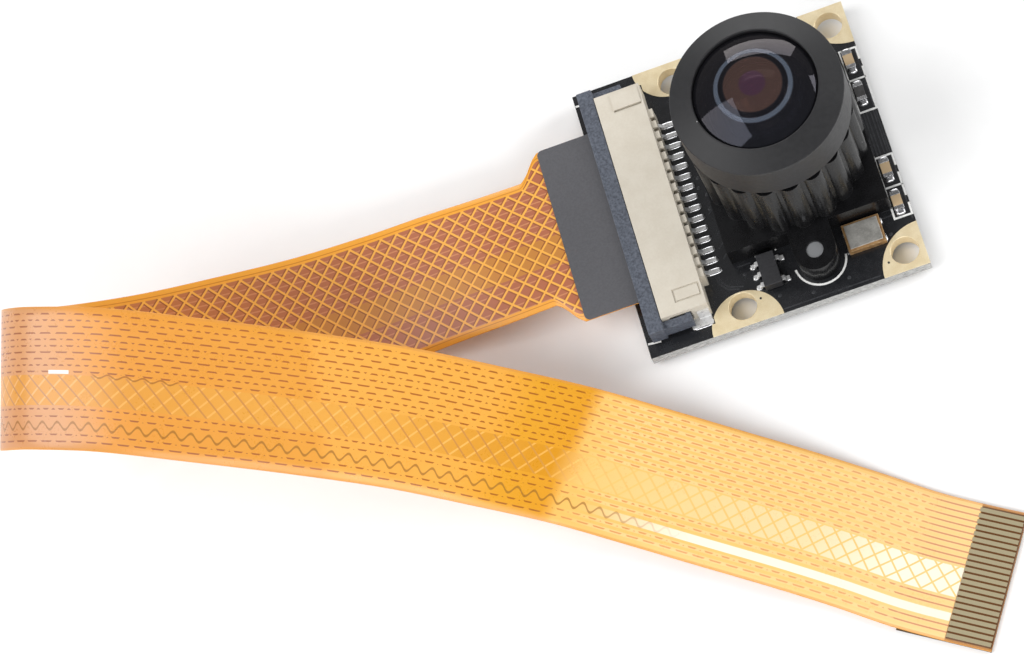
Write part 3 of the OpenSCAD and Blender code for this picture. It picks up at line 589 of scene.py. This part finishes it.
class Piece:
    """A mesh in the making, in millimetres."""

    def __init__(self, name: str) -> None:
        """Starts an empty mesh."""
        self.name = name
        self.mesh = bmesh.new()

    def prism(self, outline: Sequence[Point], low: float, high: float, inset: float = 0.0) -> "Piece":
        """An upright prism over an anticlockwise outline.

        Args:
            outline: corners in plan.
            low: height of its foot.
            high: height of its top.
            inset: how far the top draws in towards the outline's middle.

        Returns:
            The piece, for more calls.
        """
        mid = Vector((sum(p[0] for p in outline), sum(p[1] for p in outline))) / len(outline)
        rings = []
        for z, draw in ((low, 0.0), (high, inset)):
            ring = []
            for p in outline:
                away = Vector(p) - mid
                at = mid + away * (1 - draw / max(away.length, 1e-6))
                ring.append(self.mesh.verts.new((at.x, at.y, z)))
            rings.append(ring)
        n = len(outline)
        self.mesh.faces.new(rings[0][::-1])
        self.mesh.faces.new(rings[1])
        for i in range(n):
            self.mesh.faces.new((rings[0][i], rings[0][(i + 1) % n], rings[1][(i + 1) % n], rings[1][i]))
        return self

    def block(self, low: Sequence[float], high: Sequence[float]) -> "Piece":
        """A box from corner to corner."""
        (x0, y0, z0), (x1, y1, z1) = low, high
        return self.prism([(x0, y0), (x1, y0), (x1, y1), (x0, y1)], z0, z1)

    def stroke(self, points: Sequence[Point], width: float, low: float, high: float) -> "Piece":
        """A flat line of even width through the points, with mitred corners."""
        path = [Vector(p) for p in points]
        left, right = [], []
        for i, at in enumerate(path):
            before = (at - path[i - 1]).normalized() if i else (path[1] - at).normalized()
            after = (path[i + 1] - at).normalized() if i + 1 < len(path) else before
            tangent = (before + after).normalized()
            normal = Vector((-tangent.y, tangent.x))
            reach = width / 2 / max(0.5, tangent.dot(after))
            left.append(at + normal * reach)
            right.append(at - normal * reach)
        low_l, low_r, top_l, top_r = ([self.mesh.verts.new((p.x, p.y, z)) for p in side]
                                      for side, z in ((left, low), (right, low), (left, high), (right, high)))
        for i in range(len(path) - 1):
            for a, b in ((top_r, top_l), (top_l, low_l), (low_l, low_r), (low_r, top_r)):
                self.mesh.faces.new((a[i], a[i + 1], b[i + 1], b[i]))
        for i, flip in ((0, 1), (-1, -1)):
            self.mesh.faces.new([top_r[i], top_l[i], low_l[i], low_r[i]][::flip])
        return self

    def lathe(self, profile: Sequence[Point], centre: Point, steps: int = 144, closed: bool = True) -> "Piece":
        """A turned form from (radius, height) points about an upright axis."""
        rings = []
        for radius, z in profile:
            if radius < 1e-6:
                rings.append([self.mesh.verts.new((centre[0], centre[1], z))] * steps)
            else:
                rings.append([self.mesh.verts.new((centre[0] + radius * math.cos(2 * math.pi * k / steps),
                                                   centre[1] + radius * math.sin(2 * math.pi * k / steps), z))
                              for k in range(steps)])
        pairs = list(zip(rings, rings[1:])) + ([(rings[-1], rings[0])] if closed else [])
        for a, b in pairs:
            for k in range(steps):
                corners = [a[k], a[(k + 1) % steps], b[(k + 1) % steps], b[k]]
                once = list(dict.fromkeys(corners))
                if len(once) > 2:
                    self.mesh.faces.new(once)
        return self

    def mound(self, centre: Sequence[float], size: Sequence[float], power: float = 2.6, rings: int = 7,
              steps: int = 20) -> "Piece":
        """A solder mound: a rounded blob over a rounded rectangle, flat below."""
        levels = []
        for i in range(rings):
            turn = math.pi / 2 * i / (rings - 1)
            spread, rise = math.cos(turn) ** 0.7, math.sin(turn)
            levels.append([])
            for k in range(steps):
                a = 2 * math.pi * k / steps
                x = math.copysign(abs(math.cos(a)) ** (2 / power), math.cos(a))
                y = math.copysign(abs(math.sin(a)) ** (2 / power), math.sin(a))
                levels[-1].append(self.mesh.verts.new((centre[0] + size[0] / 2 * x * max(spread, 0.02),
                                                       centre[1] + size[1] / 2 * y * max(spread, 0.02),
                                                       centre[2] + size[2] * rise)))
        for low, high in zip(levels, levels[1:]):
            for k in range(steps):
                self.mesh.faces.new((low[k], low[(k + 1) % steps], high[(k + 1) % steps], high[k]))
        self.mesh.faces.new(levels[0][::-1])
        self.mesh.faces.new(levels[-1])
        return self

    def done(self, body: str, finish: Finish, bevel: float = 0.0, angle: float = 35.0,
             replaces: Sequence[str] = (), moved: Optional[Matrix] = None) -> bpy.types.Object:
        """Makes the object, dresses it and sets it on its body.

        Args:
            body: the CAD body it rides on.
            finish: its finish.
            bevel: width of its bevels, in millimetres.
            angle: edges sharper than this stay sharp, in degrees.
            replaces: CAD nodes that it stands for.
            moved: a turn or shift in millimetres.

        Returns:
            The new object.
        """
        bmesh.ops.recalc_face_normals(self.mesh, faces=self.mesh.faces)
        if moved is not None:
            self.mesh.transform(moved)
        self.mesh.transform(Matrix.Scale(MM, 4))
        for face in self.mesh.faces:
            face.smooth = True
        for edge in self.mesh.edges:
            if edge.is_manifold and edge.calc_face_angle(0.0) > math.radians(angle):
                edge.smooth = False
        data = bpy.data.meshes.new(self.name)
        self.mesh.to_mesh(data)
        self.mesh.free()
        made = bpy.data.objects.new(self.name, data)
        bpy.context.scene.collection.objects.link(made)
        data.materials.append(finish.material())
        if bevel:
            soften(made, bevel)
        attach(made, body)
        if replaces:
            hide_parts(*replaces)
        log.info("%s: %d faces on %s", self.name, len(data.polygons), body)
        return made


def soften(piece: bpy.types.Object, width: float, weld: bool = False) -> None:
    """Adds small rounded bevels to a piece's sharp edges.

    Args:
        piece: the object.
        width: bevel width in millimetres.
        weld: joins split corners first.
    """
    if weld:
        piece.modifiers.new("weld", "WELD").merge_threshold = 1e-6
    bevel = piece.modifiers.new("bevel", "BEVEL")
    bevel.width, bevel.segments, bevel.limit_method = width * MM, 2, "ANGLE"
    bevel.angle_limit, bevel.harden_normals = math.radians(32), True
    bevel.use_clamp_overlap = True


def dress(node: str, finish: Finish, bevel: float = 0.0) -> bpy.types.Object:
    """Gives a carried-over CAD node its finish and its softened edges."""
    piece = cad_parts[node]
    if not piece.material_slots:
        piece.data.materials.append(finish.material())
    for slot in piece.material_slots:
        slot.material = finish.material()
    if bevel:
        soften(piece, bevel, weld=True)
    log.info("%s dressed in %s", node, finish.name)
    return piece


def rounded(x0: float, y0: float, x1: float, y1: float, radius: float, steps: int = 5) -> list[Point]:
    """A rectangle with round corners, anticlockwise."""
    points = []
    for cx, cy, start in ((x1 - radius, y1 - radius, 0), (x0 + radius, y1 - radius, 90),
                          (x0 + radius, y0 + radius, 180), (x1 - radius, y0 + radius, 270)):
        for k in range(steps + 1):
            a = math.radians(start + 90 * k / steps)
            points.append((cx + radius * math.cos(a), cy + radius * math.sin(a)))
    return points


# ---- the studio ----


@dataclass
class Studio:
    """Camera, pale floor and soft lights."""

    centre: tuple[float, float, float] = (14.17, -115.99, 256.02)
    right: tuple[float, float, float] = (0.9362, -0.2527, -0.2440)
    up: tuple[float, float, float] = (0.3260, 0.8838, 0.3356)
    focal: float = 118.4

    def camera(self) -> None:
        """Sets the camera at the product view."""
        data = bpy.data.cameras.new("view")
        data.lens, data.sensor_width = self.focal, 36.0
        data.clip_start, data.clip_end = 0.01, 10.0
        right, up = Vector(self.right).normalized(), Vector(self.up)
        up = (up - right * up.dot(right)).normalized()
        back = right.cross(up)
        turn = Matrix((right, up, back)).transposed().to_4x4()
        camera = bpy.data.objects.new("view", data)
        camera.matrix_world = Matrix.Translation(Vector(self.centre) * MM) @ turn
        bpy.context.scene.collection.objects.link(camera)
        bpy.context.scene.camera = camera

    def light(self, name: str, at: Sequence[float], size: Sequence[float], power: float,
              colour: Colour = (1.0, 1.0, 1.0)) -> None:
        """An oblong area light that faces the board."""
        data = bpy.data.lights.new(name, "AREA")
        data.shape, data.size, data.size_y = "RECTANGLE", size[0], size[1]
        data.energy, data.color = power, colour
        lamp = bpy.data.objects.new(name, data)
        lamp.location = at
        lamp.rotation_euler = (Vector((-0.015, -0.01, 0.0)) - Vector(at)).to_track_quat("-Z", "Y").to_euler()
        bpy.context.scene.collection.objects.link(lamp)

    def floor(self) -> None:
        """A wide pale floor just under the part."""
        maker = bmesh.new()
        bmesh.ops.create_grid(maker, x_segments=2, y_segments=2, size=2.0)
        data = bpy.data.meshes.new("floor")
        maker.to_mesh(data)
        maker.free()
        floor = bpy.data.objects.new("floor", data)
        floor.location.z = -0.02 * MM
        bpy.context.scene.collection.objects.link(floor)
        paper = Finish("floor_paper", "ivory_plastic", (0.93, 0.93, 0.93), (0.95, 0.95, 0.95),
                       (0.8, 0.9), scale=0.05)
        data.materials.append(paper.material())

    def build(self) -> None:
        """Makes the whole studio."""
        self.camera()
        self.floor()
        world = bpy.data.worlds.new("studio")
        world.use_nodes = True
        world.node_tree.nodes["Background"].inputs[0].default_value = (1.0, 1.0, 1.0, 1.0)
        world.node_tree.nodes["Background"].inputs[1].default_value = 0.3
        scene = bpy.context.scene
        scene.world = world
        scene.view_settings.view_transform = "Standard"
        scene.view_settings.look = "None"
        self.light("left", (-0.42, -0.05, 0.42), (0.5, 0.5), 2.6)
        self.light("right", (0.5, 0.02, 0.22), (0.35, 0.25), 1.5)
        self.light("front", (0.0, -0.55, 0.35), (0.6, 0.25), 2.2)
        self.light("back", (0.1, 0.5, 0.22), (0.5, 0.2), 1.4)
        log.info("studio set")


# ---- the cable ----


@dataclass
class FlatCable:
    """The looped flat cable with its stiffeners and bare contacts."""

    plug_z: float = 3.0
    free_z: float = 0.25
    thick: float = 0.14
    plug_half: float = 8.0
    half: float = 5.75
    plug_to: float = 2.0
    loop_from: float = 9.5
    loop_to: float = 15.5
    flat_from: float = 24.0
    sub: int = 15
    columns: int = 12
    across_plug: tuple[float, float, float] = (0, 1, 0)
    across_loop: tuple[float, float, float] = (0.34, 0.87, 0.35)
    across_free: tuple[float, float, float] = (0.54, 0.84, 0)

    def route(self) -> list[Vector]:
        """The points that the middle of the cable follows, in millimetres."""
        z, flat = self.plug_z, self.free_z
        return [Vector(p) for p in (
            (-8, 0, z), (-12, 0, z), (-16.1, 0, z), (-18.1, 0, z), (-22.3, 0, 2.9), (-27, 0.2, 2.5),
            (-32.5, 0.3, 2.1), (-38.8, 0.5, 2.1), (-45.6, 1, 2.5), (-52.4, 1.4, 3.6), (-58.3, 1.5, 6.1),
            (-61.9, 0.8, 10.2), (-62.2, -0.8, 14.5), (-58.9, -2.9, 17.5), (-53, -5.4, 18), (-46, -8.2, 16.1),
            (-38.9, -10.7, 12.7), (-32.2, -13.1, 8.9), (-26.1, -15.8, 5.5), (-20.4, -18.7, 3.1),
            (-15.1, -22.1, 1.8), (-9.9, -25.7, 1.2), (-4.9, -29.2, 0.8), (-0.5, -32.4, 0.35),
            (3.2, -35.3, flat), (6.4, -37.5, flat), (9.7, -39.6, flat))]

    def at(self, u: float) -> Vector:
        """The middle of the cable at a place on its route."""
        p = self.route()
        p = [2 * p[0] - p[1], *p, 2 * p[-1] - p[-2]]
        i = min(int(u), len(p) - 4)
        t, (a, b, c, d) = u - i, p[i:i + 4]
        at = 0.5 * (2 * b + (c - a) * t + (2 * a - 5 * b + 4 * c - d) * t * t + (3 * b - a - 3 * c + d) * t ** 3)
        if u >= self.flat_from:
            at.z = self.free_z
        return at

    def along(self, u: float) -> Vector:
        """The way the cable runs at a place on its route."""
        return (self.at(min(26.0, u + 0.05)) - self.at(max(0.0, u - 0.05))).normalized()

    def across(self, u: float) -> Vector:
        """The way across the cable at a place on its route."""

        def blend(a: Sequence[float], b: Sequence[float], share: float) -> Vector:
            """A unit vector between two, with a smooth start and end."""
            k = min(1.0, max(0.0, share))
            return Vector(a).lerp(Vector(b), k * k * (3 - 2 * k)).normalized()

        if u < self.loop_to:
            guide = blend(self.across_plug, self.across_loop, (u - self.plug_to) / (self.loop_from - self.plug_to))
        else:
            guide = blend(self.across_loop, self.across_free, (u - self.loop_to) / (self.flat_from - self.loop_to))
        along = self.along(u)
        return (guide - guide.dot(along) * along).normalized()

    def width(self, u: float) -> float:
        """Half the cable's width at a place on its route."""
        return self.plug_half + (self.half - self.plug_half) * min(1.0, max(0.0, u - self.plug_to))

    def strip(self) -> bpy.types.Object:
        """The film itself: a thin strip swept along the route, mapped in millimetres."""
        mesh = bmesh.new()
        uv = mesh.loops.layers.uv.new("strip")
        n = self.columns
        bevel, t = self.thick / 4, self.thick / 2
        last = len(self.route()) - 1
        rings, path, s = [], [], 0.0
        for k in range(last * self.sub + 1):
            u = k / self.sub
            middle, side, w = self.at(u), self.across(u), self.width(u)
            up = -self.along(u).cross(side)
            if path:
                s += (middle - path[-1]).length
            path.append(middle)
            inner = w - bevel
            spots = [(inner * (1 - 2 * j / n), t) for j in range(n + 1)]
            spots += [(-w, t - bevel), (-w, bevel - t)]
            spots += [(inner * (2 * j / n - 1), -t) for j in range(n + 1)]
            spots += [(w, bevel - t), (w, t - bevel)]
            rings.append([(mesh.verts.new((middle + v * side + h * up) * MM), s, v) for v, h in spots])
        count = len(rings[0])
        for a, b in zip(rings, rings[1:]):
            for j in range(count):
                corners = (a[j], a[(j + 1) % count], b[(j + 1) % count], b[j])
                face = mesh.faces.new([c[0] for c in corners])
                face.smooth = True
                face.material_index = 0 if j < n else 1 if n + 3 <= j < 2 * n + 3 else 2
                for loop, (_, along, v) in zip(face.loops, corners):
                    loop[uv].uv = (along, v)
        for ring in (rings[0][::-1], rings[-1]):
            mesh.faces.new([c[0] for c in ring]).material_index = 2
        bmesh.ops.recalc_face_normals(mesh, faces=mesh.faces)
        data = bpy.data.meshes.new("cable_film")
        mesh.to_mesh(data)
        mesh.free()
        for finish in (Finishes.film_hatch, Finishes.film_tracks, Finishes.film_edge):
            data.materials.append(finish.material())
        made = bpy.data.objects.new("cable_film", data)
        bpy.context.scene.collection.objects.link(made)
        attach(made, "board")
        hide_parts("flex_cable")
        self.path = [p * MM for p in path[:: 5]]
        self.length = s * MM
        return made

    def stiffener(self) -> bpy.types.Object:
        """The grey plate behind the plugged-in end, with rounded outer corners."""
        low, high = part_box("plug_stiffener")
        outline = rounded(low.x / MM, low.y / MM, high.x / MM, high.y / MM, 0.45)
        return Piece("plug_plate").prism(outline, low.z / MM, high.z / MM).done(
            "board", Finishes.stiffener, bevel=0.04, replaces=["plug_stiffener"])

    def build(self) -> None:
        """Makes the cable and says what it is."""
        film = self.strip()
        plate = self.stiffener()
        dress("plug_pads", Finishes.contact)
        dress("free_stiffener", Finishes.brown)
        dress("free_pads", Finishes.contact)
        log.info("cable %.1f mm long", self.length / MM)


# ---- the board ----


@dataclass
class CircuitBoard:
    """The board with its lands, plated holes, white print, tracks and solder."""

    top: float = 1.7
    low: float = 0.5
    hole_x: tuple[float, float] = (10.35, -3.55)
    hole_y: float = 10.75
    hole_r: float = 1.2
    print_w: float = 0.17

    def sleeves(self) -> None:
        """Plated walls in the four fixing holes."""
        piece = Piece("hole_plating")
        r = self.hole_r
        for x in self.hole_x:
            for y in (-self.hole_y, self.hole_y):
                piece.lathe([(r - 0.005, self.low), (r - 0.005, self.top + 0.05), (r - 0.03, self.top + 0.03),
                             (r - 0.03, self.low)], (x, y), 64)
        piece.done("board", Finishes.land)

    def print_lines(self) -> None:
        """White print round the small parts."""
        z0, z1, w = self.top, self.top + 0.02, self.print_w
        lines = [
            [(11.92, 6.9), (11.92, 8.05), (10.45, 8.05), (10.45, 2.15), (11.95, 2.15), (11.95, 6.2)],
            [(10.45, 5.2), (11.95, 5.2)],
            [(11.9, -3.3), (11.9, -2.2), (10.4, -2.2), (10.4, -6.55), (9.4, -6.55), (9.15, -6.75)],
            [(10.4, -5.05), (11.9, -5.05), (11.9, -3.95)],
            [(11.9, -5.05), (11.9, -6.15)],
            [(11.9, -6.8), (11.9, -7.85), (10.4, -7.85), (10.4, -6.8)],
            [(10.4, -2.2), (10.35, -1.75)],
            [(5.9, -9.4), (7.0, -9.4)], [(7.25, -9.4), (7.85, -9.4)], [(8.0, -9.4), (9.15, -9.4), (9.15, -8.4)],
            [(-3.0, -6.6), (-1.3, -6.6), (-1.3, -7.0)], [(0.4, -7.0), (0.4, -6.6), (1.3, -6.6)],
            [(-0.95, -9.45), (-0.8, -9.6), (0.3, -9.6), (0.4, -9.3)],
            [(-11.95, 11.5), (-11.6, 11.5)], [(-11.9, -11.2), (-10.8, -11.3)],
        ]
        arc = [(3.6 + 2.15 * math.cos(a), -9.1 + 2.15 * math.sin(a))
               for a in (math.radians(180 + 170 * k / 24 + 4) for k in range(25))]
        piece = Piece("white_print")
        for line in lines + [arc]:
            piece.stroke(line, w, z0, z1)
        piece.done("board", Finishes.silk)

    def tracks(self) -> None:
        """Copper tracks that stand up a little under the mask."""
        z0, z1 = self.top - 0.01, self.top + 0.012
        lines = [[(x, 2.0), (x, -2.0)] for x in (10.75, 11.0, 11.35, 11.62)]
        lines += [[(10.3, 2.0), (10.5, 1.7), (10.5, -1.8)]]
        lines += [[(-3.0, -7.3), (-1.9, -7.3)], [(9.3, -7.45), (10.3, -7.45)], [(9.5, -6.9), (10.3, -6.9)]]
        lines += [[(-3.9, -4.1), (-3.4, -3.6), (-3.4, -2.1)], [(-4.0, -5.2), (-3.2, -4.5)],
                  [(-3.9, -6.2), (-3.1, -5.4)], [(-4.0, -2.0), (-3.5, -1.6)],
                  [(-4.7, -7.4), (-4.7, -8.0), (-4.2, -8.7), (-3.0, -9.1)],
                  [(-4.9, -7.4), (-4.9, -8.1), (-4.3, -8.9), (-3.4, -9.2)],
                  [(-0.4, -12.15), (7.9, -12.15)], [(-6.3, 12.2), (7.9, 12.2)], [(11.8, 8.2), (11.8, -8.3)]]
        piece = Piece("mask_tracks")
        for line in lines:
            piece.stroke(line, 0.13, z0, z1)
        piece.done("board", Finishes.trace)

    def vias(self) -> None:
        """Small dark discs on the lands, painted shade standing for via holes, and dots on the mask."""
        # Dark discs where the via holes are: painted shade of the holes.
        piece = Piece("via_dots")
        for x, y, r in ((8.81, -11.32, 0.1), (-1.96, -10.6, 0.1), (8.9, 11.3, 0.1), (-2.0, 10.6, 0.1)):
            piece.lathe([(0.0, self.top + 0.055), (r, self.top + 0.055), (r, self.top), (0.0, self.top)], (x, y), 20,
                        closed=False)
        piece.done("board", Finishes.inside)
        piece = Piece("via_bumps")
        for x, y in ((-3.6, -0.2), (-3.4, -0.9), (-3.7, -1.5), (-4.1, 0.6), (-3.9, 1.5), (2.3, -11.6), (-0.4, -10.9),
                     (5.4, -11.4), (9.7, -9.0), (-2.6, -8.1), (-3.3, 8.4)):
            piece.lathe([(0.0, self.top + 0.02), (0.12, self.top + 0.012), (0.16, self.top)], (x, y), 16, closed=False)
        piece.done("board", Finishes.trace)

    def build(self) -> None:
        """Dresses the board and adds what lies on it."""
        dress("circuit_board", Finishes.board, 0.03)
        dress("corner_lands", Finishes.land, 0.015)
        self.sleeves()
        self.print_lines()
        self.tracks()
        self.vias()


# ---- the lens and its holder ----


@dataclass
class LensHolder:
    """The fluted holder over the sensor, with its two screws."""

    def build(self) -> None:
        """Dresses the holder and what it hides."""
        dress("lens_holder", Finishes.holder, 0.12)
        dress("holder_screws", Finishes.screw, 0.03)
        dress("ir_filter", Finishes.filter_glass)
        dress("image_sensor", Finishes.silicon)
        dress("sensor_window", Finishes.cover_glass)


@dataclass
class LensStack:
    """The wide-angle lens: head, front ring, glasses and the rings between them."""

    x: float = 3.55
    head_z: float = 12.4
    ring_z: float = 16.3
    rim_z: float = 16.4
    head_r: float = 7.0
    glass_r: float = 5.05
    rise: float = 0.8
    dome_r: float = 9.2
    front_seat: float = 14.1

    def head(self) -> None:
        """The barrel with its wide head, hollowed for the glasses."""
        h = self.head_r
        profile = [(3.53, 5.45), (5.8, 5.45), (5.93, 5.6), (5.93, self.head_z + 0.02), (h - 0.27, self.head_z),
                   (h - 0.02, self.head_z + 0.26), (h, self.head_z + 0.3), (h, self.ring_z - 0.02),
                   (5.58, self.ring_z - 0.02), (5.58, self.front_seat), (4.13, self.front_seat), (4.13, 9.9),
                   (2.6, 9.9), (2.6, 9.1), (3.53, 9.1)]
        Piece("barrel_shell").lathe(profile, (self.x, 0.0), 160).done(
            "barrel", Finishes.barrel, angle=20, replaces=["lens_barrel"])

    def ring(self) -> None:
        """The sloping front ring with a fine lip at each edge."""
        h, g, rim = self.head_r, self.glass_r, self.rim_z
        top = rim + self.rise
        profile = [(g, self.ring_z - 0.02), (h, self.ring_z - 0.02), (h, rim - 0.05),
                   (h - 0.05, rim), (h - 0.12, rim + 0.02),
                   (g + 0.22, top - 0.03), (g + 0.12, top), (g + 0.04, top - 0.02), (g, top - 0.1)]
        Piece("ring_shell").lathe(profile, (self.x, 0.0), 160).done(
            "barrel", Finishes.barrel, angle=20, replaces=["front_ring"])

    def front(self) -> None:
        """The front glass: a dome above, a hollow below and a ground flange."""
        g = self.glass_r - 0.03
        edge = self.rim_z + self.rise - 0.35
        centre = edge - math.sqrt(self.dome_r ** 2 - self.glass_r ** 2)
        dome = [(g * k / 24, centre + math.sqrt(self.dome_r ** 2 - (g * k / 24) ** 2)) for k in range(25)]
        hollow_r, hollow_z = 4.45, self.front_seat - 2.4
        reach = math.sqrt(hollow_r ** 2 - 2.4 ** 2)
        hollow = [(reach * (1 - k / 16), hollow_z + math.sqrt(hollow_r ** 2 - (reach * (1 - k / 16)) ** 2))
                  for k in range(17)]
        profile = dome + [(g, self.ring_z), (g + 0.5, self.ring_z), (g + 0.5, self.front_seat)] + hollow
        Piece("front_dome").lathe(profile, (self.x, 0.0), 128, closed=False).done(
            "glass", Finishes.front_glass, angle=25, replaces=["front_lens"])

    def build(self) -> None:
        """Makes the lens."""
        self.head()
        self.ring()
        self.front()
        for node in ("spacer_ring", "aperture_stop", "rear_retainer"):
            dress(node, Finishes.inside)
        for node in ("middle_lens", "rear_lens"):
            dress(node, Finishes.inner_glass)


# ---- the connector ----


@dataclass
class CableConnector:
    """The front-lock connector: housing, slider, sprung contacts and tabs."""

    rear_x: float = -6.1
    top: float = 1.7
    ways: int = 15
    pitch: float = 1.0

    def solder(self) -> None:
        """A bright fillet round each contact's tail and each tab."""
        piece = Piece("tail_solder")
        for i in range(self.ways):
            y = (i - (self.ways - 1) / 2) * self.pitch
            piece.mound((self.rear_x + 1.1, y, self.top), (1.5, 0.6, 0.12), 3.2)
        for side in (-1, 1):
            piece.mound((self.rear_x - 1.0, side * 10.95, self.top), (1.9, 1.0, 0.13), 4.0)
        piece.done("board", Finishes.tin, angle=60)

    def build(self) -> None:
        """Dresses the connector."""
        dress("connector_housing", Finishes.ivory, 0.05)
        dress("connector_slider", Finishes.slate, 0.06)
        dress("connector_contacts", Finishes.lead, 0.03)
        dress("connector_tabs", Finishes.lead, 0.03)
        self.solder()


# ---- the small parts ----


@dataclass
class SmallParts:
    """Chips, crystal and regulator, with their solder."""

    top: float = 1.7
    chip_x: float = 11.05
    chips: tuple[float, ...] = (6.95, 3.85, -3.45, -6.5)
    crystal: Point = (7.65, -8.35)
    regulator: Point = (-0.55, -8.75)

    def solder(self) -> None:
        """Fillets at the chips' ends, the crystal's corners and the regulator's leads."""
        piece = Piece("part_solder")
        for y in self.chips:
            for side in (-1, 1):
                piece.mound((self.chip_x, y + side * 0.9, self.top), (0.84, 0.62, 0.24), 3.6)
        cx, cy = self.crystal
        for dx in (-1.25, 1.25):
            for dy in (-0.8, 0.8):
                piece.mound((cx + dx * 1.22, cy + dy, self.top), (0.45, 0.8, 0.2), 3.0)
        rx, ry = self.regulator
        for dx, dy in ((-1.25, -0.95), (-1.25, 0.0), (-1.25, 0.95), (1.25, -0.95), (1.25, 0.95)):
            piece.mound((rx + dx, ry + dy, self.top), (0.55, 0.5, 0.14), 3.0)
        piece.done("board", Finishes.tin, angle=60)

    def build(self) -> None:
        """Dresses the small parts."""
        dress("ceramic_capacitors", Finishes.capacitor, 0.03)
        dress("chip_resistor", Finishes.resistor, 0.03)
        dress("chip_ends", Finishes.tin, 0.04)
        dress("crystal_base", Finishes.crystal, 0.05)
        dress("crystal_lid", Finishes.lid, 0.04)
        dress("regulator_body", Finishes.package, 0.05)
        dress("regulator_leads", Finishes.lead, 0.02)
        self.solder()


def main() -> None:
    """Builds the scene."""
    logging.basicConfig(level=logging.INFO, format="%(message)s")
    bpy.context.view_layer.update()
    Studio().build()
    for part in (FlatCable(), CircuitBoard(), LensHolder(), LensStack(), CableConnector(), SmallParts()):
        part.build()


if __name__ == "__main__":
    main()
